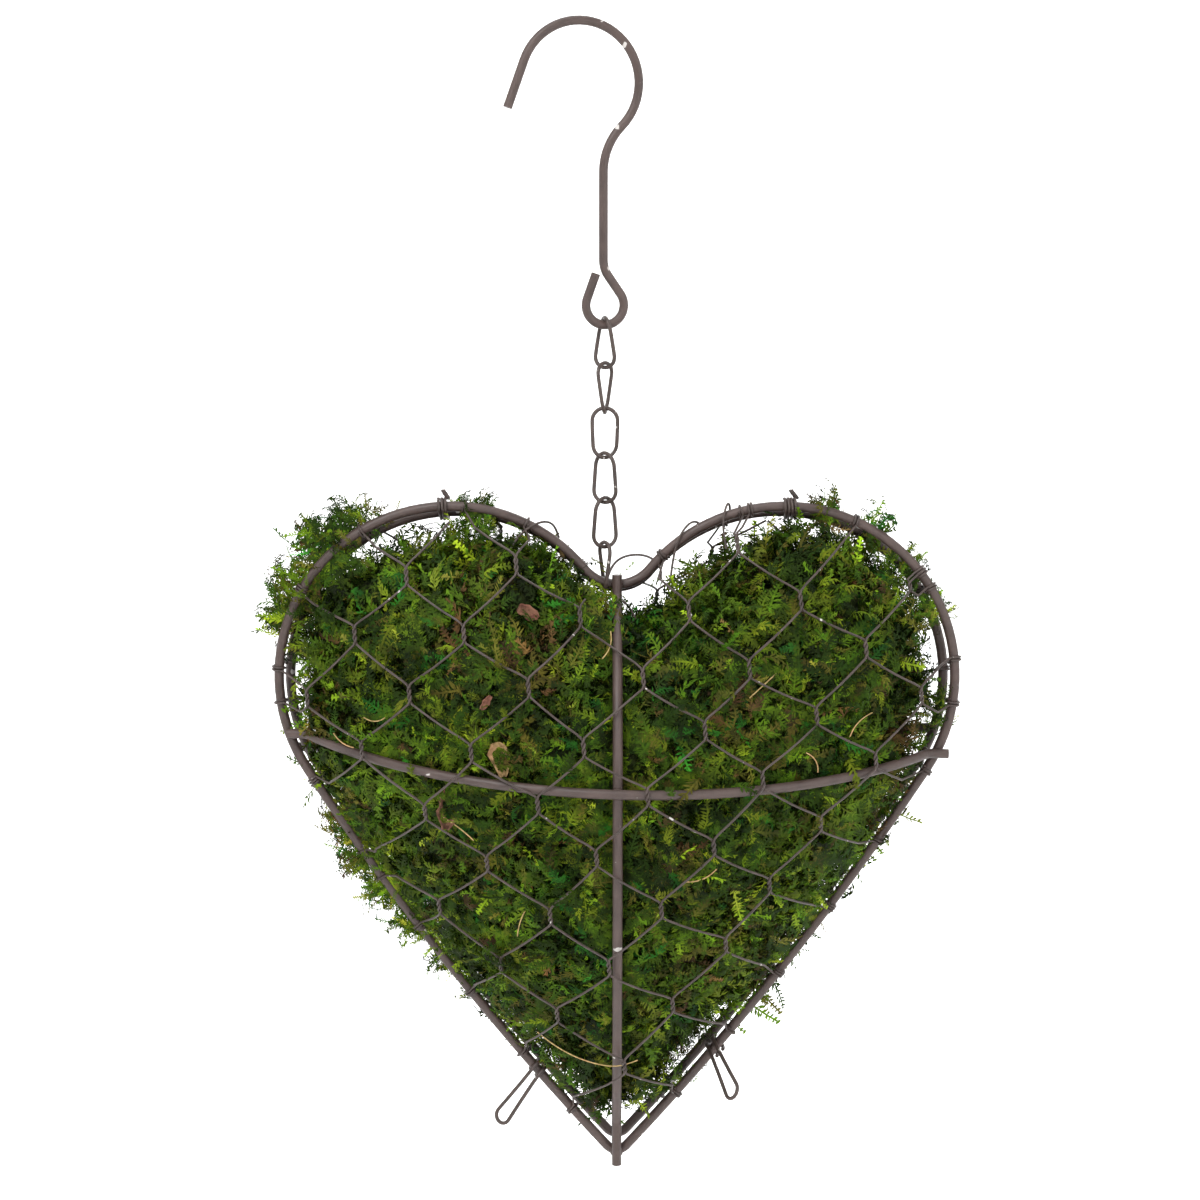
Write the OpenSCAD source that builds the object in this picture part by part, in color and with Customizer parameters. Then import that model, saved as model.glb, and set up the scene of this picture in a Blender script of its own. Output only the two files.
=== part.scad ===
// Heart-shaped hanging basket of painted wire, lined with moss. Its two halves close like a shell:
// they turn on two wire ties at the tops of the lobes, and two hairpin clips hold them shut.
// Millimetres. The origin is the seat of the hook, where the inside of its bend rests on a bracket.
// +Z is up, +X runs across the heart, and the front half bows out towards -Y.

/* [Heart] */
// Radius of each lobe, to the middle of the wire
lobe_r = 64; // [58:1:70]
// Distance of each lobe's centre from the middle of the heart
lobe_x = 61.5; // [56:0.5:66]
// Depth of the lobes' centres under the lowest point of the notch
lobe_drop = 35; // [30:1:40]
// Depth of the tip under the notch
tip_drop = 217; // [200:1:230]
// Radius of the long curve down each side
side_r = 1100; // [700:50:3000]
// Radius of the bend at the tip
tip_r = 5; // [4:0.5:8]
// How far each half bows out at its fullest point
belly = 50; // [35:1:60]
// Depth of the fullest point under the notch
belly_drop = 68; // [55:1:80]
// Size of the back half against the front half
back_scale = 0.972; // [0.95:0.001:1]

/* [Wires] */
// Diameter of the rims' wire
rim_d = 3.7; // [3:0.1:4.5]
// Diameter of the ribs' wire
rib_d = 3.6; // [3:0.1:4.5]
// Diameter of the hook's wire
hook_d = 3.4; // [3:0.1:3.6]
// Diameter of the chain's wire
link_d = 1.5; // [1.2:0.05:1.6]
// Diameter of the clips' wire
clip_d = 1.5; // [1.2:0.1:1.8]
// Diameter of the ties' wire
tie_d = 1.3; // [1:0.1:1.5]
// Diameter of the netting's wire
net_d = 0.9; // [0.7:0.1:1.1]
// Distance between one twist of the netting and the next in its row
net_pitch = 41; // [36:1:44]
// Distance between two rows of twists
net_row = 20.8; // [18:0.2:24]
// Slant of the netting's rows
net_slant = 5.5; // [0:0.5:8]
// Thickness of the moss lining
moss_t = 12; // [8:1:16]

/* [Hook and chain] */
// Radius of the hook's bend, to the middle of the wire
hook_r = 21.9; // [20:0.1:25]
// Distance of the shank from the seat, sideways
shank_x = 8.7; // [7:0.1:10]
// Length of the hook's straight lip
lip = 17.8; // [10:0.2:22]
// Radius of the eye at the foot of the hook
eye_r = 7.1; // [6.8:0.1:7.5]
// Length of a chain link, outside
link_l = 19.7; // [18.5:0.1:21]
// Width of a chain link, outside
link_w = 10.8; // [10.4:0.1:11.4]

/* [Hidden] */
wire_paint = [0.38, 0.33, 0.31];
moss_green = [0.26, 0.34, 0.12];

// Free play between wires that hang in each other
play = 0.2;

// Hook: everything is measured down from the seat
hook_yaw = 14;
hook_c = hook_d / 2 - hook_r;
lip_turn = 70;
crook_turn = 135;
crook_x = hook_r * sin(crook_turn);
s_turn = 180 - crook_turn;
s_r = (crook_x - shank_x) / (1 - cos(s_turn));
shank_l = 31.6;
eye_lean = 35;
eye_bend_r = 10;
eye_leg = 8;
eye_tail = 9.6;
eye_turn = 235;
shank_foot = hook_c + hook_r * cos(crook_turn) - s_r * sin(s_turn) - shank_l;
eye_leg_x = eye_bend_r * (1 - cos(eye_lean)) + eye_leg * sin(eye_lean);
eye_leg_z = eye_bend_r * sin(eye_lean) + eye_leg * cos(eye_lean);
eye_x = shank_x + eye_leg_x - eye_r * cos(eye_lean);
eye_z = shank_foot - eye_leg_z - eye_r * sin(eye_lean);

// Chain: the yaw of each link at its top and at its foot, because the links are twisted
link_yaw = [[-76, -32], [50, 84], [-6, 30], [-50, -24], [50, 20], [-60, -90]];
link_reach = link_l - link_d;
link_step = link_reach - link_d - play;
link_bend = (link_w - link_d) / 2;
chain_x = eye_x * cos(hook_yaw);
chain_y = eye_x * sin(hook_yaw);
chain_top = eye_z - eye_r + (hook_d + link_d) / 2 + play;
function link_top(i) = chain_top - i * link_step;
rim_play = 0.7;
rim_seat = link_top(5) - link_reach + (link_d + rim_d) / 2 + rim_play;

// Heart outline, from circles that meet without a corner. Its zero is the lowest point of the notch.
notch_r = (lobe_x * lobe_x + lobe_drop * lobe_drop - lobe_r * lobe_r) / (2 * (lobe_r - lobe_drop));
lobe_c = [lobe_x, -lobe_drop];
notch_c = [0, notch_r];
notch_turn = 90 - atan2(lobe_drop + notch_r, lobe_x);
tip_c = [0, tip_r - tip_drop];
tip_to_lobe = lobe_c - tip_c;
tip_span = norm(tip_to_lobe);
side_a = (pow(side_r - tip_r, 2) - pow(side_r - lobe_r, 2) + tip_span * tip_span) / (2 * tip_span);
side_h = sqrt(pow(side_r - tip_r, 2) - side_a * side_a);
side_c = tip_c + (side_a * tip_to_lobe + side_h * [-tip_to_lobe[1], tip_to_lobe[0]]) / tip_span;
lobe_end = atan2(lobe_c[1] - side_c[1], lobe_c[0] - side_c[0]);
side_end = atan2(tip_c[1] - side_c[1], tip_c[0] - side_c[0]);
lobe_turn = 90 + notch_turn - lobe_end;
lobe_top = lobe_r - lobe_drop;

// The chain holds the front rim a little to the left of its notch
hold_x = 4.5;
hold_z = notch_r - sqrt(notch_r * notch_r - hold_x * hold_x);
heart_x = chain_x + hold_x;
heart_z = rim_seat - hold_z;
front_y = chain_y;
rim_gap = 6.8;
back_y = front_y + rim_gap;
back_x = heart_x;
back_drop = 2.6;
back_z = heart_z + lobe_top - back_drop - lobe_top * back_scale;
hinge_drop = back_drop + 0.15;
hinge_z = heart_z + lobe_top - hinge_drop;

// Distance from the fullest point to the outline, in direction a from +X
function bearing(p) = atan2(p[1] + belly_drop, abs(p[0]));
notch_bearing = bearing([notch_r * sin(notch_turn), notch_r * (1 - cos(notch_turn))]);
lobe_bearing = bearing(lobe_c + lobe_r * [cos(lobe_end), sin(lobe_end)]);
side_bearing = bearing(tip_c + tip_r * [cos(side_end), sin(side_end)]);
function ray_to_circle(a, c, r, far) =
    let (w = c + [0, belly_drop], t = w * [cos(a), sin(a)], root = sqrt(t * t - w * w + r * r))
    far ? t + root : t - root;
function outline_at(a) =
    a > notch_bearing ? ray_to_circle(a, notch_c, notch_r, false)
    : a > lobe_bearing ? ray_to_circle(a, lobe_c, lobe_r, true)
    : a > side_bearing ? ray_to_circle(a, side_c, side_r, true)
    : ray_to_circle(a, tip_c, tip_r, true);

// Direction straight out of the outline there
function outward(a, p) =
    a > notch_bearing ? unit(notch_c - p) : a > lobe_bearing ? unit(p - lobe_c)
    : a > side_bearing ? unit(p - side_c) : unit(p - tip_c);
function unit(v) = v / norm(v);

// Height of an arc that starts level at the fullest point and comes down to zero at the outline
function arc_height(s, reach, rise) =
    let (r = (reach * reach + rise * rise) / (2 * rise)) sqrt(r * r - s * s) - r + rise;
function belly_at(x, z) =
    let (s = norm([x, z + belly_drop]), reach = outline_at(bearing([x, z])))
    s >= reach ? 0 : arc_height(s, reach, belly);

function across(n, t) = unit(n - (n * t) * t);
function heading(path, i) = unit(path[min(i + 1, len(path) - 1)] - path[max(i - 1, 0)]);
function on_xz(path) = [for (p = path) [p[0], 0, p[1]]];
function on_yz(path) = [for (p = path) [0, p[1], p[0]]];
function on_xy(path) = [for (p = path) [p[0], p[1], 0]];
function mirrored(path) = [for (k = [len(path) - 1:-1:0]) [-path[k][0], path[k][1]]];

// Points along a wire that is bent in one plane. Each step is [length, 0] for a straight run or
// [radius, turn] for a bend, which is to the left where the turn is positive.
bend_step = 18;
bend_run = 14;
function bent(steps, at = [0, 0], dir = 0, i = 0) =
    i == len(steps) ? [at]
    : let (size = steps[i][0], turn = steps[i][1], side = sign(turn))
    turn == 0 ? concat([at], bent(steps, at + size * [cos(dir), sin(dir)], dir, i + 1))
    : let (c = at + side * size * [-sin(dir), cos(dir)], run = size * abs(turn) * PI / 180,
        n = ceil(max(abs(turn) / bend_step, run / bend_run)))
    concat([for (k = [0:n - 1]) let (a = dir + turn * k / n) c + side * size * [sin(a), -cos(a)]],
        bent(steps, c + side * size * [sin(dir + turn), -cos(dir + turn)], dir + turn, i + 1));

// A round tube along a path, with one normal for each point
module tube(path, normals, d, sides, closed = false) {
    count = len(path);
    rings = [for (i = [0:count - 1])
        let (t = closed ? unit(path[(i + 1) % count] - path[(i + count - 1) % count]) : heading(path, i),
            n = across(normals[i], t), b = cross(t, n))
        for (k = [0:sides - 1])
            path[i] + d / 2 * (cos(360 * k / sides) * n + sin(360 * k / sides) * b)];
    walls = [for (i = [0:count - (closed ? 1 : 2)]) for (k = [0:sides - 1])
        let (a = i * sides, b = ((i + 1) % count) * sides, l = (k + 1) % sides)
        each [[a + k, b + k, b + l], [a + k, b + l, a + l]]];
    ends = closed ? [] : [[for (k = [0:sides - 1]) k],
        [for (k = [0:sides - 1]) count * sides - 1 - k]];
    polyhedron(rings, concat(walls, ends), convexity = 10);
}
// The same where the path stays in one plane, whose normal is n
module flat_tube(path, n, d, sides, closed = false) {
    tube(path, [for (p = path) n], d, sides, closed);
}

module hook() {
    down = bent([[hook_r, -crook_turn], [s_r, s_turn], [shank_l, 0], [eye_bend_r, eye_lean],
        [eye_leg, 0], [eye_r, -eye_turn], [eye_tail, 0]]);
    lip_side = mirrored(bent([[hook_r, -lip_turn], [lip, 0]]));
    wire = concat(lip_side, [for (k = [1:len(down) - 1]) down[k]]);
    color(wire_paint) rotate([0, 0, hook_yaw]) translate([0, 0, hook_d / 2])
        flat_tube(on_xz(wire), [0, 1, 0], hook_d, 10);
}

// One oval link, twisted from one yaw at its top to another at its foot
module chain_link(i) {
    leg = link_reach - 2 * link_bend;
    side = concat(
        [for (a = [90:-22.5:0]) link_bend * [cos(a), sin(a) - 1]],
        [[link_bend, -link_bend - leg / 2]],
        [for (a = [0:-22.5:-90]) [link_bend * cos(a), link_bend * (sin(a) + 1) - link_reach]]);
    n = len(side);
    oval = concat(side, [for (k = [n - 2:-1:1]) [-side[k][0], side[k][1]]]);
    yaws = [for (p = oval) link_yaw[i][0] - p[1] / link_reach * (link_yaw[i][1] - link_yaw[i][0])];
    path = [for (k = [0:len(oval) - 1])
        [oval[k][0] * cos(yaws[k]), oval[k][0] * sin(yaws[k]), oval[k][1]]];
    color(wire_paint) translate([chain_x, chain_y, link_top(i)])
        tube(path, [for (a = yaws) [-sin(a), cos(a), 0]], link_d, 8, closed = true);
}
module chain_link_1() { chain_link(0); }
module chain_link_2() { chain_link(1); }
module chain_link_3() { chain_link(2); }
module chain_link_4() { chain_link(3); }
module chain_link_5() { chain_link(4); }
module chain_link_6() { chain_link(5); }

// A half is made in the heart's plane, bowing out towards -Y, with the notch at zero.
// The back half is turned round and is a little smaller.
module in_front() { translate([heart_x, front_y, heart_z]) children(); }
module in_back() {
    translate([back_x, back_y, back_z]) rotate([0, 0, 180])
        scale([back_scale, back_scale, back_scale]) children();
}

module rim(d) {
    half = bent([[notch_r, notch_turn], [lobe_r, -lobe_turn],
        [side_r, side_end - lobe_end], [tip_r, -90 - side_end]]);
    n = len(half);
    outline = concat(half, [for (k = [n - 2:-1:1]) [-half[k][0], half[k][1]]]);
    flat_tube(on_xz(outline), [0, 1, 0], d, 10, closed = true);
}

// A rib's half: an arc from the fullest point, a small bend, and a foot that lies on the rim
rib_lie = (rim_d + rib_d) / 2 - 0.25;
foot_bend = 6;
function half_rib(reach, rise, foot) =
    let (r = (reach * reach + rise * rise) / (2 * rise) - foot_bend,
        turn = asin(reach / (r + foot_bend)))
    bent([[r, turn], [foot_bend, -turn], [foot, 0]]);
function whole_rib(left, right) = concat(mirrored(left), [for (k = [1:len(right) - 1]) right[k]]);

notch_foot = 6;
tip_foot = 15;
side_foot = 5;
module vertical_rib(d) {
    rise = belly - rib_lie;
    down = half_rib(tip_drop - belly_drop - 10, rise, tip_foot);
    up = half_rib(belly_drop - 2, rise, notch_foot);
    translate([0, -belly, -belly_drop]) flat_tube(on_yz(whole_rib(down, up)), [1, 0, 0], d, 8);
}
// The horizontal rib lies over the vertical one, and its ends are higher than its middle
rib_over = rib_d - 0.5;
rib_tilt = 10;
rib_lean = 1.8;
side_reach = 118;
module horizontal_rib(d) {
    half = half_rib(side_reach, (belly + rib_over - rib_lie) / cos(rib_tilt), side_foot);
    translate([0, -belly - rib_over, -belly_drop]) rotate([0, rib_lean, 0]) rotate([rib_tilt, 0, 0])
        flat_tube(on_xy(whole_rib(half, half)), [0, 0, 1], d, 8);
}

// Netting: each wire zigzags from row to row and lies beside its neighbours in the twists.
// Its ends go over the rim and once round it.
net_out = rib_d / 2 + net_d / 2 + 0.1;
twist_l = 6.5;
net_edge = 7;
wires = 18;
rows = 16;
net_start = [-0.6, 58.6];
function net_x(wire, row) =
    let (right = (wire + row) % 2 == 0)
    (wire - (wires - 1) / 2 + (right ? 0.5 : -0.5)) * net_pitch / 2 + (right ? -1 : 1) * net_d * 0.55;
function slanted(p) =
    net_start + [p[0] * cos(net_slant) - p[1] * sin(net_slant),
        p[0] * sin(net_slant) + p[1] * cos(net_slant)];
// Where a wire that runs from p, inside, to q, outside, comes near the rim
function net_exit(p, q, tries = 6) =
    tries == 0 ? p
    : let (m = (p + q) / 2) net_ok(m) ? net_exit(m, q, tries - 1) : net_exit(p, m, tries - 1);
function net_ok(p) =
    norm([p[0], p[1] + belly_drop]) < outline_at(bearing(p)) - net_edge;
// Over the horizontal rib the netting stands out further
function over_rib(z) = rib_over * exp(-pow((z + belly_drop) / 20, 2));
function net_point(p) = [p[0], -belly_at(p[0], p[1]) - net_out - over_rib(p[1]), p[1]];
wrap_r = (rim_d + net_d) / 2 + 0.12;
function net_wrap(p) =
    let (a = atan2(p[2] + belly_drop, p[0]), b = bearing([p[0], p[2]]), reach = outline_at(b),
        at = [reach * cos(b), reach * sin(b) - belly_drop], n = outward(b, at), side = p[0] < 0 ? -1 : 1)
    [for (t = [120, 60, 0, -60, -120, -180])
        [side * (at[0] + wrap_r * cos(t) * n[0]), -wrap_r * sin(t), at[1] + wrap_r * cos(t) * n[1]]];
// The netting's ends keep clear of the ties, the clips and the last link of the chain
tie_x = 64;
left_clip_a = -75.5;
right_clip_a = -71;
function outline_point(a) = let (r = outline_at(a)) [r * cos(a), r * sin(a) - belly_drop];
fixtures = [[tie_x, lobe_top], [hold_x, hold_z], outline_point(left_clip_a),
    outline_point(right_clip_a)];
fixture_room = 6;
function free_end(p) =
    min([for (f = fixtures) norm([abs(p[0]) - f[0], p[2] - f[1]])]) > fixture_room;
module half_netting(d) {
    for (wire = [0:wires - 1]) {
        // Three points for each row: the twist's top and foot, and halfway to the next twist
        knots = [for (row = [0:rows - 1])
            let (x = net_x(wire, row), next_x = net_x(wire, row + 1), z = -row * net_row)
            each [slanted([x, z]), slanted([x, z - twist_l]),
                slanted([(x + next_x) / 2, z - (twist_l + net_row) / 2])]];
        inside = [for (k = [0:len(knots) - 1]) if (net_ok(knots[k])) k];
        if (len(inside) > 2) {
            top = inside[0];
            foot = inside[len(inside) - 1];
            run = concat([net_exit(knots[top], knots[top - 1])],
                [for (k = [top:foot]) if (net_ok(knots[k])) knots[k]],
                [net_exit(knots[foot], knots[foot + 1])]);
            kept = [for (p = run) net_point(p)];
            first = net_wrap(kept[0]);
            last = net_wrap(kept[len(kept) - 1]);
            path = concat(free_end(first[2]) ? [for (k = [len(first) - 1:-1:0]) first[k]] : [], kept,
                free_end(last[2]) ? last : []);
            tube(path, carried(path, [1, 0, 0]), d, 5);
        }
    }
}
// Carries the start normal along a path, so that a tube's rings don't twist
function carried(path, n, i = 0) =
    i == len(path) ? [] : let (m = across(n, heading(path, i))) concat([m], carried(path, m, i + 1));

// Moss lining: an open bowl inside the ribs, its lip just short of the plane where the halves meet
moss_in = rib_d / 2 + 1;
moss_edge = 6.6;
tip_room = 9;
function moss_reach(a) =
    let (b = bearing([cos(a), sin(a) - belly_drop])) outline_at(b) - tip_room * exp(-pow((b + 90) / 15, 2));
lip_y = rim_gap / 2 - 0.3;
ray_n = 40;
ring_n = 7;
function bowl(edge, sink) = [for (ring = [0:ring_n - 1]) for (ray = [0:ray_n - 1])
    let (a = 360 * ray / ray_n, reach = moss_reach(a) - edge,
        s = reach * cos(90 * ring / ring_n))
    [s * cos(a), -arc_height(s, reach, belly - sink), s * sin(a) - belly_drop]];
module half_moss() {
    outer = bowl(moss_edge, moss_in);
    inner = bowl(moss_edge + moss_t, moss_in + moss_t);
    lips = [for (p = [for (k = [0:ray_n - 1]) outer[k]]) [p[0], lip_y, p[2]]];
    inner_lips = [for (p = [for (k = [0:ray_n - 1]) inner[k]]) [p[0], lip_y, p[2]]];
    poles = [[0, moss_in - belly, -belly_drop], [0, moss_in + moss_t - belly, -belly_drop]];
    points = concat(lips, outer, [poles[0]], inner_lips, inner, [poles[1]]);
    side_n = (ring_n + 1) * ray_n;
    inner_at = side_n + 1;
    function wall(start, flip) = [for (ring = [0:ring_n - 1]) for (ray = [0:ray_n - 1])
        let (a = start + ring * ray_n + ray, b = start + ring * ray_n + (ray + 1) % ray_n,
            c = b + ray_n, e = a + ray_n)
        each flip ? [[a, b, c], [a, c, e]] : [[a, c, b], [a, e, c]]];
    function cap(start, flip) = [for (ray = [0:ray_n - 1])
        let (a = start + ring_n * ray_n + ray, b = start + ring_n * ray_n + (ray + 1) % ray_n)
        flip ? [a, b, start + side_n] : [a, start + side_n, b]];
    rim_faces = [for (ray = [0:ray_n - 1]) let (a = ray, b = (ray + 1) % ray_n)
        each [[a, inner_at + b, inner_at + a], [a, b, inner_at + b]]];
    polyhedron(points, concat(wall(0, false), cap(0, false), wall(inner_at, true),
        cap(inner_at, true), rim_faces), convexity = 4);
}

// Hinge ties: turns of thin wire round both rims near the top of a lobe, with a twisted tail.
// They grip the front rim, and the back rim turns in them.
tie_play = 0.45;
tie_turns = 3;
tie_r = (rim_d + tie_d) / 2 + tie_play;
tie_step = tie_d + 0.1;
tie_tail = 5;
module hinge_tie() {
    gap = norm([rim_gap, hinge_drop]);
    turn = concat([for (a = [0:22.5:180]) [0, -tie_r * sin(a), tie_r * cos(a)]],
        [for (a = [180:22.5:360]) [0, gap - tie_r * sin(a), tie_r * cos(a)]]);
    color(wire_paint) rotate([-atan2(hinge_drop, rim_gap), 0, 0]) {
        for (k = [0:tie_turns - 1]) translate([(k - (tie_turns - 1) / 2) * tie_step, 0, 0])
            flat_tube(turn, [1, 0, 0], tie_d, 6, closed = true);
        flat_tube([[0, 0, tie_r], [0, -0.5, tie_r + tie_tail / 2], [1.5, -1, tie_r + tie_tail]],
            [0, 1, 0], tie_d * 1.4, 6);
    }
}
module left_hinge_tie() { translate([heart_x - tie_x, front_y, heart_z + lobe_top]) hinge_tie(); }
module right_hinge_tie() { translate([heart_x + tie_x, front_y, heart_z + lobe_top]) hinge_tie(); }

// Clips: a hairpin whose two ends curl round the front rim, on which it swings.
// It is made with the rim along Z and its closed end out along X.
clip_play = 0.25;
clip_r = (rim_d + clip_d) / 2 + clip_play;
clip_l = 21;
clip_mouth = 1.7;
clip_head = 2.9;
clip_lean = 14;
curl_turn = 240;
module hairpin() {
    leg = concat([for (a = [curl_turn:-30:0]) [-clip_r * sin(a), -clip_r * cos(a), clip_mouth]],
        [[clip_l, -clip_r, clip_head]]);
    n = len(leg);
    path = concat(leg, [for (a = [60:-30:-60])
            [clip_l + clip_head * cos(a), -clip_r, clip_head * sin(a)]],
        [for (k = [n - 1:-1:0]) [leg[k][0], leg[k][1], -leg[k][2]]]);
    leaning = [for (p = path) [p[0], p[1], p[2] - max(p[0], 0) * tan(clip_lean)]];
    color(wire_paint) tube(leaning, carried(leaning, [0, 0, 1]), clip_d, 8);
}
right_clip_swing = -50;
module clip_on_rim(a, swing) {
    p = outline_point(a);
    n = outward(a, p);
    translate([p[0], 0, p[1]]) rotate([0, -atan2(n[1], n[0]), 0]) rotate([0, 0, swing]) hairpin();
}
module left_clip() { in_front() mirror([1, 0, 0]) clip_on_rim(left_clip_a, 0); }
module right_clip() { in_front() clip_on_rim(right_clip_a, right_clip_swing); }

module front_rim() { color(wire_paint) in_front() rim(rim_d); }
module front_vertical_rib() { color(wire_paint) in_front() vertical_rib(rib_d); }
module front_horizontal_rib() { color(wire_paint) in_front() horizontal_rib(rib_d); }
module front_netting() { color(wire_paint) in_front() half_netting(net_d); }
module front_moss() { color(moss_green) in_front() half_moss(); }
module back_rim() { color(wire_paint) in_back() rim(rim_d / back_scale); }
module back_vertical_rib() { color(wire_paint) in_back() vertical_rib(rib_d / back_scale); }
module back_horizontal_rib() { color(wire_paint) in_back() horizontal_rib(rib_d / back_scale); }
module back_netting() { color(wire_paint) in_back() half_netting(net_d / back_scale); }
module back_moss() { color(moss_green) in_back() half_moss(); }

hook();
chain_link_1();
chain_link_2();
chain_link_3();
chain_link_4();
chain_link_5();
chain_link_6();
front_rim();
front_vertical_rib();
front_horizontal_rib();
front_netting();
front_moss();
left_hinge_tie();
right_hinge_tie();
left_clip();
right_clip();
back_rim();
back_vertical_rib();
back_horizontal_rib();
back_netting();
back_moss();
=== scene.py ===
import math
import random

import bmesh
import bpy
import numpy as np
from mathutils import Matrix, Vector, noise


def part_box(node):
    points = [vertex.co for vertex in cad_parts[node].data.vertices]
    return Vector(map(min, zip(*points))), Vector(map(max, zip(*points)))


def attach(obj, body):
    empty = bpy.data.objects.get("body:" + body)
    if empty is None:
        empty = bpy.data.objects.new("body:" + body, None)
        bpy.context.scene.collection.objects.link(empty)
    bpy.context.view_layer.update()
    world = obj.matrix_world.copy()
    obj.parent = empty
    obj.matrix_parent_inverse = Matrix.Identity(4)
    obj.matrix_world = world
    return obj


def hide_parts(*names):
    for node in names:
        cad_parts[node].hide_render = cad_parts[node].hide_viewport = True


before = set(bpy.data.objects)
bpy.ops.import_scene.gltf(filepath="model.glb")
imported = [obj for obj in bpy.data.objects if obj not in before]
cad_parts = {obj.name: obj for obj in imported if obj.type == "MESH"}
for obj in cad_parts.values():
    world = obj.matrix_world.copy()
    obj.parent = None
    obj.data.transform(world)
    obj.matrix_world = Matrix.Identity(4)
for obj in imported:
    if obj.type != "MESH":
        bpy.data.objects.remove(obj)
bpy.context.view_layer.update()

# %% [markdown]
# # A heart-shaped hanging basket
# Two bowed wire hearts close on each other like a shell. Each has a rim, two ribs and a skin of
# hexagonal netting, and is lined with moss. The measured frame is loaded first: it says where every
# piece goes, and how far each one turns.

# %% Measure the frame
MM = 0.001
rim_low, rim_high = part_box("front_rim")
back_low, back_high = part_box("back_rim")
wire_d = {"hook": 3.4 * MM, "rim": 3.7 * MM, "rib": 3.6 * MM, "link": 1.5 * MM,
          "clip": 1.5 * MM, "tie": 1.3 * MM, "net": 0.9 * MM}
lobe_top = 29 * MM
back_scale = 0.972
heart = np.array([(rim_low[0] + rim_high[0]) / 2, (rim_low[1] + rim_high[1]) / 2,
                  rim_high[2] - wire_d["rim"] / 2 - lobe_top])
back_heart = np.array([(back_low[0] + back_high[0]) / 2, (back_low[1] + back_high[1]) / 2,
                       back_high[2] - wire_d["rim"] / 2 - lobe_top * back_scale])
print("notch of the front heart at", heart.round(4), "and of the back heart at", back_heart.round(4))

# %% [markdown]
# ## Camera
# A long lens from about a metre away keeps the heart's outline true. The camera stands a little
# above the middle, so the near rib bows down and the tops of the lobes are seen.

# %% Place the camera
camera_elevation = math.radians(8)
camera_distance = 1.0
view_width = 0.444
aim = Vector((heart[0] - 6.3 * MM, heart[1], -0.2085))
camera_data = bpy.data.cameras.new("camera")
camera_data.lens = camera_data.sensor_width * camera_distance / view_width
camera = bpy.data.objects.new("camera", camera_data)
camera.location = aim + camera_distance * Vector((0, -math.cos(camera_elevation), math.sin(camera_elevation)))
camera.rotation_euler = (math.pi / 2 - camera_elevation, 0, 0)
bpy.context.scene.collection.objects.link(camera)
bpy.context.scene.camera = camera
print("camera at", tuple(round(v, 3) for v in camera.location))

# %% [markdown]
# ## Shader maths
# A finish is easier to read as a sum than as a web of nodes. `Value` wraps one socket, so an
# expression on values adds its Math nodes, and `Finish.node` adds every other kind of node.

# %% Write finishes as expressions
class Value:
    def __init__(self, finish, socket):
        self.finish, self.socket = finish, socket

    def math(self, operation, a, b):
        return self.finish.node("ShaderNodeMath", {"operation": operation}, {0: a, 1: b})

    def __add__(self, other):
        return self.math("ADD", self, other)

    def __mul__(self, other):
        return self.math("MULTIPLY", self, other)

    __radd__ = __add__
    __rmul__ = __mul__


class Finish:
    def __init__(self, name):
        self.material = bpy.data.materials.new(name)
        self.material.use_nodes = True
        self.tree = self.material.node_tree
        self.shader = self.tree.nodes["Principled BSDF"]
        self.place = self.node("ShaderNodeTexCoord", output="Object")

    def node(self, kind, settings=None, inputs=None, output=0):
        node = self.tree.nodes.new(kind)
        for key, value in (settings or {}).items():
            setattr(node, key, value)
        for key, value in (inputs or {}).items():
            self.feed(node.inputs[key], value)
        return Value(self, node.outputs[output])

    def feed(self, socket, value):
        if isinstance(value, Value):
            self.tree.links.new(value.socket, socket)
        else:
            socket.default_value = value

    def speckle(self, size, detail=2.0):
        inputs = {"Vector": self.place, "Scale": 1 / size, "Detail": detail}
        return self.node("ShaderNodeTexNoise", inputs=inputs)

    def between(self, value, low, high):
        inputs = {"Value": value, "From Min": low, "From Max": high}
        return self.node("ShaderNodeMapRange", {"clamp": True}, inputs)

    def mix(self, factor, a, b):
        return self.node("ShaderNodeMix", {"data_type": "RGBA"}, {0: factor, 6: a, 7: b}, output=2)

    def bump(self, height, strength, distance):
        inputs = {"Height": height, "Strength": strength, "Distance": distance}
        return self.node("ShaderNodeBump", inputs=inputs)


# %% [markdown]
# ## Paint on the wire
# The frame is dipped in a brown-grey satin paint. It is not quite even: it is darker where it ran
# thick, paler where it rubbed thin, and a few chips show bright metal. Thin wires get the same
# paint, with a finer mottle.

# %% Mix the paint
def painted_wire(name, dark, light, mottle):
    finish = Finish(name)
    cloud = finish.between(finish.speckle(mottle, 4), 0.32, 0.68)
    grain = finish.speckle(mottle / 12, 3)
    chipped = finish.between(finish.speckle(mottle * 0.55, 1), 0.745, 0.765)
    paint = finish.mix(cloud, (*dark, 1), (*light, 1))
    paint = finish.mix(grain * 0.35, paint, (*[c * 1.7 for c in light], 1))
    finish.feed(finish.shader.inputs["Base Color"], finish.mix(chipped * 0.8, paint, (0.42, 0.40, 0.38, 1)))
    finish.feed(finish.shader.inputs["Roughness"], 0.36 + 0.16 * cloud + 0.08 * grain)
    finish.feed(finish.shader.inputs["Normal"], finish.bump(grain + 0.8 * cloud, 0.35, mottle / 60))
    finish.shader.inputs["Metallic"].default_value = 0.0
    finish.shader.inputs["Specular IOR Level"].default_value = 0.32
    return finish.material


frame_paint = painted_wire("frame_paint", (0.018, 0.011, 0.009), (0.044, 0.029, 0.025), 9 * MM)
thin_paint = painted_wire("thin_paint", (0.015, 0.010, 0.008), (0.038, 0.026, 0.022), 5 * MM)
print("paints:", frame_paint.name, thin_paint.name)

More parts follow.
